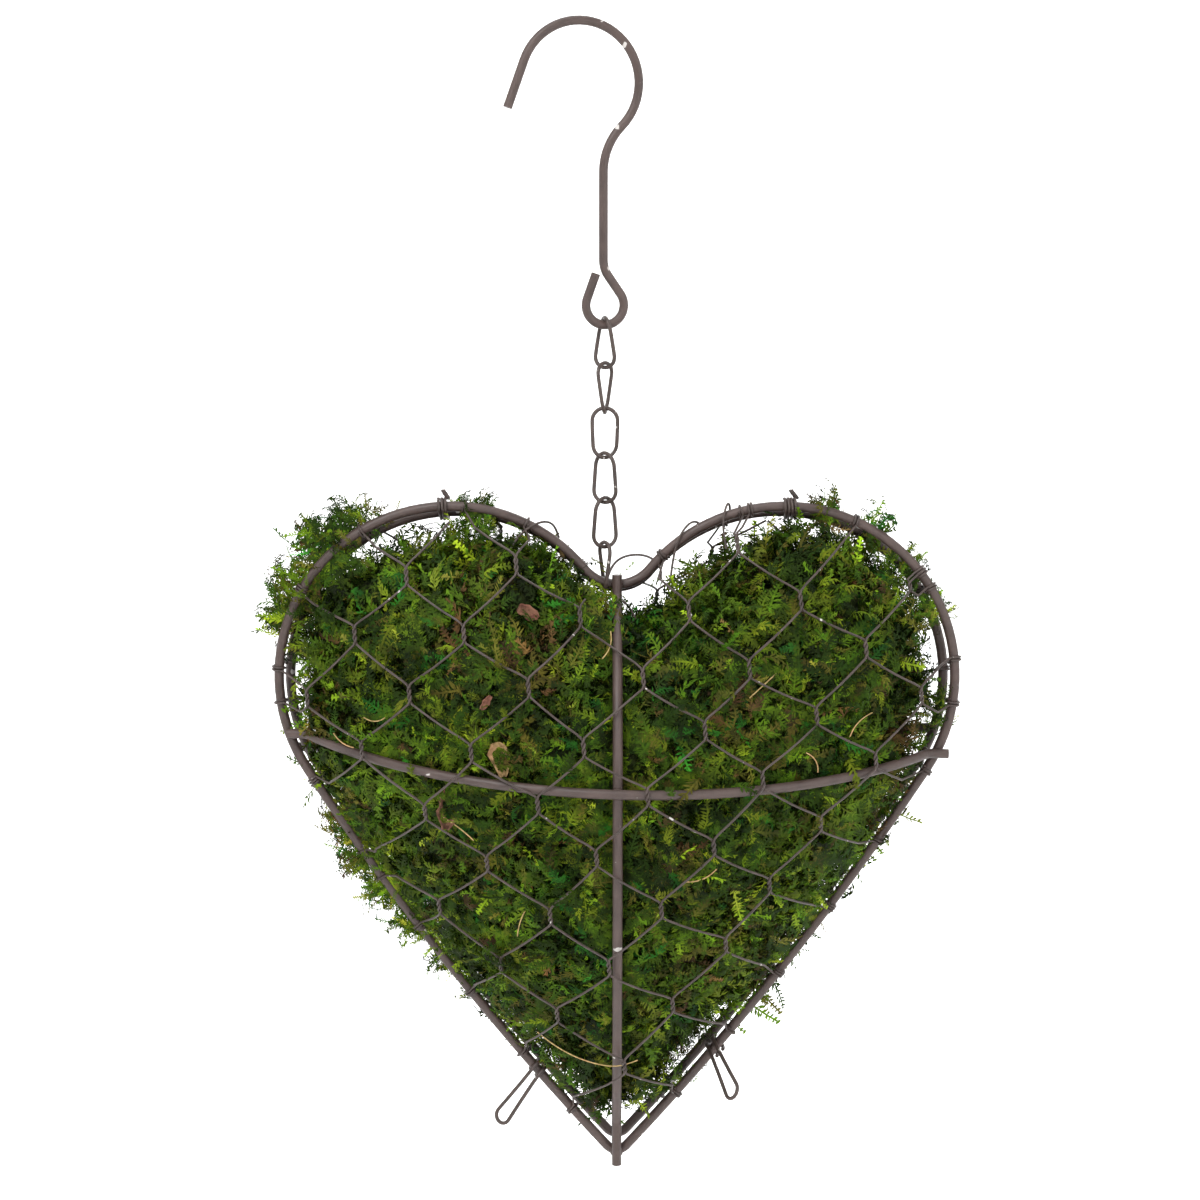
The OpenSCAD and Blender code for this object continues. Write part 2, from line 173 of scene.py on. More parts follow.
# %% [markdown]
# ## Bending wire
# Every wire here is bent from a straight length, so its path is written the way a bender works:
# run straight, then turn through an angle at a radius. A round profile is swept along the path.
# A curve with a bevel does the sweep, and it is then made a mesh.

# %% Helpers for bent wire
def bent(steps, at=(0.0, 0.0), heading=0.0):
    points = [np.array(at, float)]
    for size, turn in steps:
        ahead = np.array([math.cos(heading), math.sin(heading)])
        if turn == 0:
            points.append(points[-1] + size * ahead)
            continue
        side = math.copysign(size, turn)
        centre = points[-1] + side * np.array([-ahead[1], ahead[0]])
        count = math.ceil(max(abs(turn) / math.radians(6), size * abs(turn) / (4 * MM)))
        for k in range(1, count + 1):
            a = heading + turn * k / count
            points.append(centre + side * np.array([math.sin(a), -math.cos(a)]))
        heading += turn
    return np.array(points)


def mirrored(path):
    return path[::-1] * [-1, 1]


def in_plane(path, across, up):
    return path[:, :1] * np.array(across, float) + path[:, 1:] * np.array(up, float)


def swept(name, paths, thickness, closed=False, roundness=2):
    curve = bpy.data.curves.new(name, "CURVE")
    curve.dimensions = "3D"
    curve.bevel_depth = thickness / 2
    curve.bevel_resolution = roundness
    curve.use_fill_caps = not closed
    for path in paths:
        spline = curve.splines.new("POLY")
        spline.points.add(len(path) - 1)
        spline.points.foreach_set("co", np.c_[path, np.ones(len(path))].ravel())
        spline.use_cyclic_u = closed
        spline.use_smooth = True
    draft = bpy.data.objects.new(name + "_draft", curve)
    mesh = bpy.data.meshes.new_from_object(draft)
    bpy.data.objects.remove(draft)
    bpy.data.curves.remove(curve)
    mesh.name = name
    piece = bpy.data.objects.new(name, mesh)
    bpy.context.scene.collection.objects.link(piece)
    return piece


def finished(piece, material, body, slot, *nodes):
    piece.data.materials.clear()
    piece.data.materials.append(material)
    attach(piece, body)
    if nodes:
        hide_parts(*nodes)
    print(piece.name, len(piece.data.polygons), "faces")
    return piece


# %% [markdown]
# ## Hook
# One rod makes the whole hook: a wide crook with a short straight lip, an S-bend that brings the
# shank back under the middle, and an eye that is curled round but not closed.

# %% Bend the hook
degrees = math.radians
hook_r, shank_x, crook_turn = 21.9 * MM, 8.7 * MM, degrees(135)
s_turn = math.pi - crook_turn
s_r = (hook_r * math.sin(crook_turn) - shank_x) / (1 - math.cos(s_turn))
shank = bent([(hook_r, -crook_turn), (s_r, s_turn), (31.6 * MM, 0), (10 * MM, degrees(35)),
              (8 * MM, 0), (7.1 * MM, -degrees(235)), (9.6 * MM, 0)])
lip = mirrored(bent([(hook_r, -degrees(70)), (17.8 * MM, 0)]))
hook_yaw = degrees(14)
hook_path = in_plane(np.vstack([lip, shank[1:]]), (math.cos(hook_yaw), math.sin(hook_yaw), 0), (0, 0, 1))
hook_path += [0, 0, wire_d["hook"] / 2]
finished(swept("bent_hook", [hook_path], wire_d["hook"], roundness=4),
         frame_paint, "hook", "hook_wire", "hook")

# %% [markdown]
# ## Chain
# Each link is a butted oval of thin wire. It is twisted as it hangs, so the top of a link
# and its foot face different ways, and light catches each one differently.

# %% Form the links
link_yaws = [(-76, -32), (50, 84), (-6, 30), (-50, -24), (50, 20), (-60, -90)]
link_reach, link_bend = 18.2 * MM, 4.65 * MM
half_link = np.vstack([bent([(link_bend, -math.pi / 2)]),
                       [[link_bend, -link_reach * k / 10] for k in (3, 4, 5, 6, 7)],
                       bent([(link_bend, -math.pi / 2)], (link_bend, link_bend - link_reach), -math.pi / 2)])
oval = np.vstack([half_link, (half_link[1:-1] * [-1, 1])[::-1]])
for i, (top_yaw, foot_yaw) in enumerate(link_yaws, 1):
    low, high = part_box(f"chain_link_{i}")
    yaw = np.radians(top_yaw - oval[:, 1] / link_reach * (foot_yaw - top_yaw))
    path = np.c_[oval[:, 0] * np.cos(yaw), oval[:, 0] * np.sin(yaw), oval[:, 1]]
    path += [(low[0] + high[0]) / 2, (low[1] + high[1]) / 2, high[2] - wire_d["link"] / 2]
    finished(swept(f"twisted_link_{i}", [path], wire_d["link"], closed=True), thin_paint,
             f"link_{i}", "chain_wire", f"chain_link_{i}")

# %% [markdown]
# ## Heart outline
# The rim is drawn from arcs that meet without a corner: a small one in the notch, a lobe, a long
# shallow side and a tight tip. The same outline, measured from the fullest point of the belly,
# tells how far any spot is from the edge, which the netting and the moss need.

# %% Draw the outline
lobe_r, lobe_x, lobe_drop = 64 * MM, 61.5 * MM, 35 * MM
tip_drop, side_r, tip_r = 217 * MM, 1100 * MM, 5 * MM
belly, belly_drop = 50 * MM, 68 * MM
notch_r = (lobe_x ** 2 + lobe_drop ** 2 - lobe_r ** 2) / (2 * (lobe_r - lobe_drop))
notch_turn = math.pi / 2 - math.atan2(lobe_drop + notch_r, lobe_x)
lobe_c, tip_c = np.array([lobe_x, -lobe_drop]), np.array([0, tip_r - tip_drop])
span = np.linalg.norm(lobe_c - tip_c)
side_a = ((side_r - tip_r) ** 2 - (side_r - lobe_r) ** 2 + span ** 2) / (2 * span)
side_h = math.sqrt((side_r - tip_r) ** 2 - side_a ** 2)
along = (lobe_c - tip_c) / span
side_c = tip_c + side_a * along + side_h * np.array([-along[1], along[0]])
lobe_end = math.atan2(*(lobe_c - side_c)[::-1])
side_end = math.atan2(*(tip_c - side_c)[::-1])
half_heart = bent([(notch_r, notch_turn), (lobe_r, lobe_end - math.pi / 2 - notch_turn),
                   (side_r, side_end - lobe_end), (tip_r, -math.pi / 2 - side_end)])
outline = np.vstack([half_heart, (half_heart[1:-1] * [-1, 1])[::-1]])
edge_angle = np.arctan2(half_heart[:, 1] + belly_drop, half_heart[:, 0])[::-1]
edge_reach = np.hypot(half_heart[:, 0], half_heart[:, 1] + belly_drop)[::-1]


def reach(x, z):
    return np.interp(np.arctan2(z + belly_drop, np.abs(x)), edge_angle, edge_reach)


def bulge(x, z, rise=belly):
    far = reach(x, z)
    near = np.minimum(np.hypot(x, z + belly_drop), far)
    arc = (far ** 2 + rise ** 2) / (2 * rise)
    return np.sqrt(arc ** 2 - near ** 2) - arc + rise


def on_front(points):
    return np.asarray(points) + heart


def on_back(points):
    return np.asarray(points) * [-back_scale, -back_scale, back_scale] + back_heart


halves = {"front": on_front, "back": on_back}
print("outline of", len(outline), "points,", round(2000 * float(outline[:, 0].max())), "mm wide")

# %% [markdown]
# ## Rims and ribs
# A rib springs over its half like a hoop and ends in short feet that lie flat on the rim, where
# they are spot-welded. The level rib crosses over the upright one.

# %% Bend the rims and ribs
rib_lie = (wire_d["rim"] + wire_d["rib"]) / 2 - 0.25 * MM
rib_over = wire_d["rib"] - 0.5 * MM
foot_bend = 6 * MM


def half_rib(reach_out, rise, foot):
    r = (reach_out ** 2 + rise ** 2) / (2 * rise) - foot_bend
    turn = math.asin(reach_out / (r + foot_bend))
    return bent([(r, turn), (foot_bend, -turn), (foot, 0)])


down = half_rib(tip_drop - belly_drop - 10 * MM, belly - rib_lie, 15 * MM)
up = half_rib(belly_drop - 2 * MM, belly - rib_lie, 6 * MM)
upright = in_plane(np.vstack([mirrored(down), up[1:]]), (0, 0, 1), (0, 1, 0)) - [0, belly, belly_drop]
rib_tilt, rib_lean = degrees(10), degrees(1.8)
side = half_rib(118 * MM, (belly + rib_over - rib_lie) / math.cos(rib_tilt), 5 * MM)
level = in_plane(np.vstack([mirrored(side), side[1:]]), (1, 0, 0), (0, math.cos(rib_tilt), math.sin(rib_tilt)))
level = level @ np.array(Matrix.Rotation(rib_lean, 3, "Y")).T - [0, belly + rib_over, belly_drop]
for half, place in halves.items():
    body = f"{half}_half"
    finished(swept(f"{half}_heart_rim", [place(in_plane(outline, (1, 0, 0), (0, 0, 1)))], wire_d["rim"],
                   closed=True, roundness=4), frame_paint, body, "frame_wire", f"{half}_rim")
    finished(swept(f"{half}_upright_rib", [place(upright)], wire_d["rib"], roundness=4),
             frame_paint, body, "frame_wire", f"{half}_vertical_rib")
    finished(swept(f"{half}_level_rib", [place(level)], wire_d["rib"], roundness=4),
             frame_paint, body, "frame_wire", f"{half}_horizontal_rib")

# %% [markdown]
# ## Weld beads
# Where a foot meets the rim, the spot weld leaves a small smooth bead under the paint. A squashed
# ball tucked between the two wires is all it takes.

# %% Add the beads
def weld_bead(bm, at, size):
    ball = bmesh.ops.create_icosphere(bm, subdivisions=2, radius=1)
    bmesh.ops.scale(bm, vec=size, verts=ball["verts"])
    bmesh.ops.translate(bm, vec=at, verts=ball["verts"])


bead = 1.5 * MM
for half, place in halves.items():
    bm = bmesh.new()
    rim_front = -wire_d["rim"] / 2
    spots = [((0, rim_front, 0.4 * MM), (2.4 * MM, bead, bead)),
             ((0, rim_front, -tip_drop - 0.5 * MM), (2.6 * MM, bead, 2 * MM)),
             ((level[2][0] + 3 * MM, rim_front, level[2][2]), (bead, bead, 2.4 * MM)),
             ((level[-3][0] - 3 * MM, rim_front, level[-3][2]), (bead, bead, 2.4 * MM)),
             ((0, -belly - rib_over / 2, -belly_drop), (2.2 * MM, bead, 2.2 * MM))]
    for at, size in spots:
        weld_bead(bm, place(np.array(at)), size)
    mesh = bpy.data.meshes.new(f"{half}_weld_beads")
    bm.to_mesh(mesh)
    bm.free()
    mesh.polygons.foreach_set("use_smooth", [True] * len(mesh.polygons))
    beads = bpy.data.objects.new(f"{half}_weld_beads", mesh)
    bpy.context.scene.collection.objects.link(beads)
    finished(beads, frame_paint, f"{half}_half", "frame_wire")

# %% [markdown]
# ## Netting
# Hexagonal netting is pairs of thin wires twisted together one and a half turns, so each wire
# crosses the sheet at a slant. Where a wire reaches the rim, its cut end is wound round it. The
# knots are nudged a little, because the sheet was pulled by hand over the ribs.

# %% Twist the netting
net_pitch, net_row, net_slant, twist_l = 41 * MM, 20.8 * MM, degrees(5.5), 6.8 * MM
net_start = np.array([-0.6, 58.6]) * MM
net_out = (wire_d["rib"] + wire_d["net"]) / 2 + 0.15 * MM
twist_r = wire_d["net"] * 0.56
slant = np.array([[math.cos(net_slant), math.sin(net_slant)], [-math.sin(net_slant), math.cos(net_slant)]])
left_clip_at, right_clip_at = np.array([-30.26, -185.0]) * MM, np.array([37.36, -176.5]) * MM
kept_clear = np.array([[-64 * MM, lobe_top], [64 * MM, lobe_top], [-4.5 * MM, 0], left_clip_at, right_clip_at])


def nudge(column, row, seed):
    rng = random.Random(f"{seed} {column} {row}")
    return np.array([rng.uniform(-1.6, 1.6), rng.uniform(-1.6, 1.6)]) * MM


def net_surface(points, out):
    x, z = points[:, 0], points[:, 1]
    over = rib_over * np.exp(-((z + belly_drop) / (20 * MM)) ** 2)
    return np.c_[x, -bulge(x, z) - net_out - over + out, z]


def net_strand(start, side, seed):
    flat, out = [], []
    for row in range(-1, 17):
        column = start + side * row
        at = np.array([column * net_pitch / 2, -row * net_row])
        for t in np.linspace(0, 1, 13):
            turn = 3 * math.pi * t
            flat.append(net_start + (at + [-side * twist_r * math.cos(turn), -twist_l * t]) @ slant
                        + nudge(column, row, seed))
            out.append(side * twist_r * math.sin(turn))
        there = net_start + (at + [side * net_pitch / 2, -net_row]) @ slant
        there += nudge(column + side, row + 1, seed)
        leaving = flat[-1]
        for t in (0.12, 0.3, 0.5, 0.7, 0.88):
            flat.append(leaving + (there - leaving) * t - [0, math.sin(math.pi * t) * 0.5 * MM])
            out.append(0.0)
    return np.array(flat), np.array(out)


def rim_wrap(end, turns):
    x, z = end
    far = reach(x, z)
    a = math.atan2(z + belly_drop, x)
    at = np.array([far * math.cos(a), far * math.sin(a) - belly_drop])
    nearest = np.argsort(np.linalg.norm(outline - at, axis=1))[:2]
    ahead = outline[nearest[0]] - outline[nearest[1]]
    ahead /= np.linalg.norm(ahead)
    outward = np.array([ahead[1], -ahead[0]])
    outward *= np.sign(outward @ (at - [0, -belly_drop]))
    r = (wire_d["rim"] + wire_d["net"]) / 2 + 0.05 * MM
    points = []
    for turn in np.arange(degrees(125), -turns * 2 * math.pi, -degrees(20)):
        spot = at + r * math.cos(turn) * outward + ahead * (degrees(125) - turn) * 0.17 * MM
        points.append([spot[0], -r * math.sin(turn), spot[1]])
    return np.array(points)


def netting(half, place, seed):
    strands = []
    for side in (1, -1):
        for start in range(-26, 27, 2):
            flat, out = net_strand(start, side, seed)
            inside = np.hypot(flat[:, 0], flat[:, 1] + belly_drop) < reach(flat[:, 0], flat[:, 1]) - 5 * MM
            runs = np.split(np.arange(len(flat)), np.flatnonzero(np.diff(inside)) + 1)
            for run in runs:
                if not inside[run[0]] or len(run) < 6:
                    continue
                path = net_surface(flat[run], out[run])
                rng = random.Random(f"{seed} {side} {start} {run[0]}")
                wraps = []
                for end in (flat[run[0]], flat[run[-1]]):
                    free = np.linalg.norm(kept_clear - end, axis=1).min() > 9 * MM
                    wraps.append(rim_wrap(end, rng.choice((0.8, 1.2, 1.7, 2.2))) if free else np.empty((0, 3)))
                strands.append(place(np.vstack([wraps[0][::-1], path, wraps[1]])))
    piece = swept(f"{half}_twisted_netting", strands, wire_d["net"], roundness=1)
    return finished(piece, thin_paint, f"{half}_half", "netting_wire", f"{half}_netting")


for seed, (half, place) in enumerate(halves.items()):
    netting(half, place, seed)

# %% [markdown]
# ## Loose ends of the netting
# Round the notch the cut netting is untidy: a few ends arch over the rim or run along it before
# they are tucked in. Each is drawn through a handful of places and smoothed.

# %% Add the loose ends
def eased(places, count=40):
    knots = np.array(places, float) * MM
    at = np.linspace(0, len(knots) - 1, count)
    path = np.stack([np.interp(at, range(len(knots)), knots[:, i]) for i in range(3)], axis=1)
    for k in range(24):
        path[1:-1] = (path[:-2] + 2 * path[1:-1] + path[2:]) / 4
    return path + heart


loose_ends = [[(-4, 0, 1), (-2.5, 1, 6), (0, 2, 9.5), (5, 2.5, 11), (10, 2, 11), (14, 0.5, 9.5),
               (17, -2.4, 6), (16, -2, 2)],
              [(-39, -6, 14), (-36, -4, 19), (-31, -2.8, 22.6), (-26, -1.5, 24), (-23, 1.5, 22), (-21.5, 3, 17)],
              [(19.5, -6, 2), (20.5, -3.4, 10), (22.5, -2.6, 18), (26.5, -1, 23.4), (30, 1.5, 23.6), (33, 2.6, 19)],
              [(40, -7, 14), (38.5, -4, 22), (39.5, -2.4, 28), (41, 0.5, 31), (42, 2.8, 28), (41, 2.4, 23)],
              [(-32, -8, -5), (-26, -6, -4), (-18, -4, -2.2), (-9, -2.6, -3.4), (-2, -4.6, -2.6),
               (4, -5, -6), (7, -8, -12)]]
finished(swept("loose_netting_ends", [eased(places) for places in loose_ends], wire_d["net"], roundness=1),
         thin_paint, "front_half", "netting_wire")

# %% [markdown]
# ## Hinge ties
# Two bindings of thin wire at the tops of the lobes are the hinge of the shell. Each goes round
# both rims a few times and ends in a twisted tail. They hold the front rim tight, and the back
# rim turns in them.

# %% Wind the ties
tie_r = (wire_d["rim"] + wire_d["tie"]) / 2 + 0.3 * MM
rim_gap = back_heart[1] - heart[1]
hinge_drop = 2.75 * MM
tie_tilt = Matrix.Rotation(-math.atan2(hinge_drop, rim_gap), 3, "X")
tie_span = math.hypot(rim_gap, hinge_drop)


def hinge_tie(x, turns, seed):
    rng = random.Random(seed)
    near_side, far_side = np.linspace(0, math.pi, 9), np.linspace(math.pi, 2 * math.pi, 9)
    ring = [(-tie_r * math.sin(a), tie_r * math.cos(a)) for a in near_side]
    ring += [(tie_span - tie_r * math.sin(a), tie_r * math.cos(a)) for a in far_side]
    path = []
    for k in range(turns * len(ring)):
        y, z = ring[k % len(ring)]
        drift = (k / len(ring) - turns / 2) * 1.25 * MM + rng.uniform(-0.12, 0.12) * MM
        path.append([drift, y, z + rng.uniform(0, 0.12) * MM])
    tail = [[path[-1][0] * (1 - t) + 0.5 * MM * math.cos(7 * math.pi * t + phase),
             -2.2 * MM * t + 0.5 * MM * math.sin(7 * math.pi * t + phase),
             tie_r + 2.6 * MM * t] for phase in (0, math.pi) for t in np.linspace(0.1, 1, 16)]
    strands = [np.array(path), np.array(tail[:16]), np.array(tail[16:])]
    turned = np.array(tie_tilt).T
    return [strand @ turned + heart + [x, 0, lobe_top] for strand in strands]


for name, x, turns in (("left", -64 * MM, 3), ("right", 64 * MM, 4)):
    tie = swept(f"{name}_wound_tie", hinge_tie(x, turns, name), wire_d["tie"] * 0.86, roundness=2)
    finished(tie, thin_paint, "front_half", "tie_wire", f"{name}_hinge_tie")

# %% [markdown]
# ## Hairpin clips
# Near the tip, two hairpins close the shell. Each is a doubled wire whose ends curl round the
# front rim, so it swings there, and its closed end hooks over the back rim.

# %% Bend the clips
clip_r = (wire_d["rim"] + wire_d["clip"]) / 2 + 0.25 * MM
clip_l, clip_mouth, clip_head = 21 * MM, 1.7 * MM, 2.9 * MM


def hairpin():
    leg = [[-clip_r * math.sin(a), -clip_r * math.cos(a), clip_mouth] for a in np.radians(np.arange(240, -1, -15))]
    leg += [[clip_l * t, -clip_r, clip_mouth + (clip_head - clip_mouth) * t ** 1.4]
            for t in (0.2, 0.4, 0.6, 0.8, 1)]
    bow = [[clip_l + clip_head * math.cos(a), -clip_r, clip_head * math.sin(a)]
           for a in np.radians(np.arange(75, -76, -15))]
    path = np.array(leg + bow + [[x, y, -z] for x, y, z in leg[::-1]])
    path[:, 2] -= np.maximum(path[:, 0], 0) * math.tan(degrees(14))
    return path


def clip_path(at, swing, side):
    nearest = np.argsort(np.linalg.norm(outline - at, axis=1))[:2]
    ahead = outline[nearest[0]] - outline[nearest[1]]
    outward = np.array([ahead[1], -ahead[0]]) / np.linalg.norm(ahead)
    outward *= np.sign(outward[0] * side)
    turn = Matrix.Rotation(-math.atan2(outward[1], outward[0] * side), 3, "Y") @ Matrix.Rotation(swing, 3, "Z")
    path = hairpin() @ np.array(turn).T + [at[0] * side, 0, at[1]]
    return path * [side, 1, 1] + heart


for name, at, swing, side in (("left", left_clip_at, 0, -1), ("right", right_clip_at, degrees(-50), 1)):
    clip = swept(f"{name}_hairpin", [clip_path(at, swing, side)], wire_d["clip"], roundness=3)
    finished(clip, thin_paint, f"{name}_clip", "tie_wire", f"{name}_clip")

# %% [markdown]
# ## Moss finishes
# The moss is dyed and dried, so each frond has its own green: deep, leafy, yellow or brown. The
# colour is painted on each frond as an attribute and mottled by the finish; the attribute also
# carries painted shade at each frond's foot and painted light at its tip. Under the fronds lies a
# matted core of stems and crumbs, its dark green deepened to near black as painted shade for the
# gaps between tufts.

# %% Mix the moss finishes
def frond_moss():
    finish = Finish("frond_moss")
    tint = finish.node("ShaderNodeAttribute", {"attribute_name": "tint"})
    mottle = finish.speckle(1.4 * MM, 2)
    light = finish.mix(finish.between(mottle, 0.35, 0.75), (0.72, 0.72, 0.66, 1), (1.35, 1.3, 1.2, 1))
    colour = finish.node("ShaderNodeMix", {"data_type": "RGBA", "blend_type": "MULTIPLY"},
                         {0: 1.0, 6: tint, 7: light}, output=2)
    finish.feed(finish.shader.inputs["Base Color"], colour)
    finish.feed(finish.shader.inputs["Roughness"], 0.55 + 0.2 * mottle)
    finish.shader.inputs["Specular IOR Level"].default_value = 0.06
    return finish.material


def matted(name, dark, light, grain_size):
    finish = Finish(name)
    clumps, grain = finish.speckle(12 * MM, 3), finish.speckle(grain_size, 5)
    colour = finish.mix(finish.between(grain, 0.35, 0.7), (*dark, 1), (*light, 1))
    warm = (light[0] * 1.2, light[1] * 0.8, light[2], 1)
    colour = finish.mix(finish.between(clumps, 0.5, 0.75) * 0.6, colour, warm)
    finish.feed(finish.shader.inputs["Base Color"], colour)
    finish.feed(finish.shader.inputs["Roughness"], 0.8 + 0.15 * grain)
    finish.feed(finish.shader.inputs["Normal"], finish.bump(grain, 1.0, grain_size / 2))
    finish.shader.inputs["Specular IOR Level"].default_value = 0.1
    return finish.material


frond_finish = frond_moss()
# The core's colour is near black: painted shade for the gaps between the tufts, over the real dark of matted moss.
core_shade_finish = matted("matted_core_shade", (0.003, 0.005, 0.001), (0.012, 0.020, 0.003), 2 * MM)
leaf_finish = matted("dry_leaf", (0.11, 0.07, 0.03), (0.27, 0.18, 0.085), 1.5 * MM)
bark_finish = matted("bark", (0.05, 0.025, 0.016), (0.16, 0.08, 0.05), 2 * MM)
straw_finish = matted("straw", (0.20, 0.14, 0.055), (0.40, 0.29, 0.13), 1.5 * MM)

# %% [markdown]
# ## Moss core
# The lining is a bowl of matted moss. It starts from the measured lining, cut finer, and is then
# pushed about: lumps and hollows swell it by a few millimetres, and it draws back from the rim
# where the real stuff has settled, so light shows through there.

# %% Shape the core
def around(angle, at, width):
    off = (angle - math.radians(at) + math.pi) % (2 * math.pi) - math.pi
    return math.exp(-(off / math.radians(width)) ** 2)


def drawn_back(x, z):
    a = math.atan2(z + belly_drop, x)
    gap = (1.0 + 13 * around(a, 129, 10) + 10 * around(a, 106, 7) + 40 * around(a, 70, 15)
           + 12 * around(a, 90, 6) + 9 * around(a, 16, 17) + 4 * around(a, 167, 12) + 3 * around(a, 322, 10))
    return (gap + 2.5 * noise.noise(Vector((x, 0, z)) * 60)) * MM


def moss_core(half):
    bm = bmesh.new()
    bm.from_mesh(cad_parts[f"{half}_moss"].data)
    bmesh.ops.remove_doubles(bm, verts=bm.verts, dist=0.02 * MM)
    bmesh.ops.subdivide_edges(bm, edges=bm.edges, cuts=3, use_grid_fill=True)
    bm.normal_update()
    moved = []
    for v in bm.verts:
        x, z = v.co.x - heart[0], v.co.z - heart[2]
        near, far = math.hypot(x, z + belly_drop), float(reach(x, z))
        pull = drawn_back(x, z) * min(1, near / far) ** 2.5 / max(near, MM)
        lump = 4.6 * noise.noise(v.co * 48) + 2.4 * noise.noise(v.co * 120) - 3.2
        moved.append(Vector((-x * pull, 0, -(z + belly_drop) * pull)) + v.normal * lump * MM)
    for v, move in zip(bm.verts, moved):
        v.co += move
    mesh = bpy.data.meshes.new(f"{half}_moss_core")
    bm.to_mesh(mesh)
    bm.free()
    core = bpy.data.objects.new(mesh.name, mesh)
    bpy.context.scene.collection.objects.link(core)
    return finished(core, core_shade_finish, f"{half}_half", "moss", f"{half}_moss")


cores = {half: moss_core(half) for half in halves}

# %% [markdown]
# ## Moss fronds
# A sprig of this moss is a small feather: a stem with narrow leaflets down both sides, curled as
# it dried. A few patterns are enough, because each copy is turned, sized and tinted its own way.
# A pattern has only a few dozen faces, since thousands of it are laid.

# %% Make the frond patterns
def frond_pattern(seed, pairs, leaf_length, most_curl):
    rng = random.Random(seed)
    bm = bmesh.new()
    length = 1.0
    stem = bmesh.ops.create_grid(bm, x_segments=1, y_segments=5, size=0.5)
    bmesh.ops.scale(bm, vec=(0.034, length, 1), verts=stem["verts"])
    bmesh.ops.translate(bm, vec=(0, length / 2, 0), verts=stem["verts"])
    for k in range(pairs):
        along = 0.06 + 0.94 * (k + rng.uniform(0, 0.5)) / pairs
        size = leaf_length * math.sin(math.pi * min(1, 0.2 + 0.72 * along)) ** 0.7 * rng.uniform(0.65, 1.15)
        for side in (-1, 1):
            leaf = bmesh.ops.create_circle(bm, cap_ends=True, segments=4, radius=0.5)
            bmesh.ops.scale(bm, vec=(0.044 * rng.uniform(0.8, 1.3), size, 1), verts=leaf["verts"])
            bmesh.ops.translate(bm, vec=(0, size / 2, 0), verts=leaf["verts"])
            spread = Matrix.Rotation(-side * degrees(rng.uniform(38, 72)), 3, "Z") @ Matrix.Rotation(
                degrees(rng.uniform(-10, 45)), 3, "X") @ Matrix.Rotation(degrees(rng.uniform(-40, 40)), 3, "Y")
            bmesh.ops.rotate(bm, matrix=spread, verts=leaf["verts"])
            bmesh.ops.translate(bm, vec=(0, along * length, 0), verts=leaf["verts"])
    bmesh.ops.triangulate(bm, faces=bm.faces)
    curl, sway = degrees(rng.uniform(30, most_curl)), degrees(rng.uniform(-110, 110))
    for v in bm.verts:
        a, b = curl * v.co.y, sway * v.co.y
        run, rise = math.sin(a) / curl, (1 - math.cos(a)) / curl
        v.co = Vector((v.co.x * math.cos(b) + run * math.sin(b) * 0.8,
                       run * math.cos(b * 0.8) - v.co.z * math.sin(a),
                       rise + v.co.z * math.cos(a) - v.co.x * 0.15))
    points = np.array([v.co for v in bm.verts])
    faces = np.array([[v.index for v in f.verts] for f in bm.faces])
    bm.free()
    return points, faces


short_fronds = [frond_pattern(seed, 9 + seed % 3, 0.28, 170) for seed in range(12)]
long_fronds = [frond_pattern(seed, 14, 0.17, 260) for seed in range(20, 32)]
print("patterns of", len(short_fronds[0][1]), "to", len(long_fronds[0][1]), "faces")

# %% [markdown]
# ## Laying the fronds
# Fronds grow from the core's surface in two layers: short ones that cover it, their tint darkened
# as painted shade, then longer ones brightened as painted light, whose tips catch the light.
# Neighbours lean the same way, which makes tufts with gaps between them, and a slow drift of
# colour gives patches of yellow, brown and deep green.
# Nearly all are held under the netting and the ribs. The upper layer leaves room for the wires
# that move: the right clip on the front half, and the last link beside the back one.

# %% Lay the fronds
greens = np.array([(0.014, 0.032, 0.002), (0.030, 0.066, 0.003), (0.058, 0.110, 0.004), (0.110, 0.160, 0.007),
                   (0.078, 0.078, 0.010), (0.016, 0.092, 0.008), (0.125, 0.160, 0.014), (0.070, 0.042, 0.014)])
noise.seed_set(5)


def wander(points, size, seed):
    return np.array([noise.noise_vector(Vector(p) / size + Vector((seed * 7.3, 0, 0))) for p in points])


def unit(vectors):
    return vectors / np.maximum(np.linalg.norm(vectors, axis=1, keepdims=True), 1e-9)


def roots(core, count, facing, rng):
    mesh = core.data
    mesh.calc_loop_triangles()
    corners = np.array([[mesh.vertices[i].co for i in t.vertices] for t in mesh.loop_triangles])
    normals = np.cross(corners[:, 1] - corners[:, 0], corners[:, 2] - corners[:, 0])
    areas = np.linalg.norm(normals, axis=1)
    normals = normals / np.maximum(areas[:, None], 1e-15)
    chance = areas * np.where(normals[:, 1] * facing > -0.2, 1, 0.16)
    pick = rng.choice(len(areas), count, p=chance / chance.sum())
    a, b = rng.random((2, count, 1))
    a, b = np.where(a + b > 1, 1 - a, a), np.where(a + b > 1, 1 - b, b)
    at = corners[pick, 0] + a * (corners[pick, 1] - corners[pick, 0]) + b * (corners[pick, 2] - corners[pick, 0])
    return at, normals[pick]


def tints(at, rng):
    drift = wander(at, 22 * MM, 3)
    weights = np.array([1.9, 2.9, 2.5, 1.5, 1.0, 0.25, 0.22, 0.15])
    weights = weights * np.exp(3.2 * np.c_[drift[:, 0], drift[:, 1] * 0.3, -drift[:, 0], drift[:, 1], drift[:, 2],
                                           -drift[:, 1] * 1.3, drift[:, 1] * 1.2, drift[:, 2] * 1.8])
    steps = np.cumsum(weights / weights.sum(axis=1, keepdims=True), axis=1)
    pick = (rng.random((len(at), 1)) > steps).sum(axis=1).clip(0, len(greens) - 1)
    return greens[pick] * rng.uniform(0.65, 1.4, (len(at), 1)) * rng.uniform(0.9, 1.1, (len(at), 3))


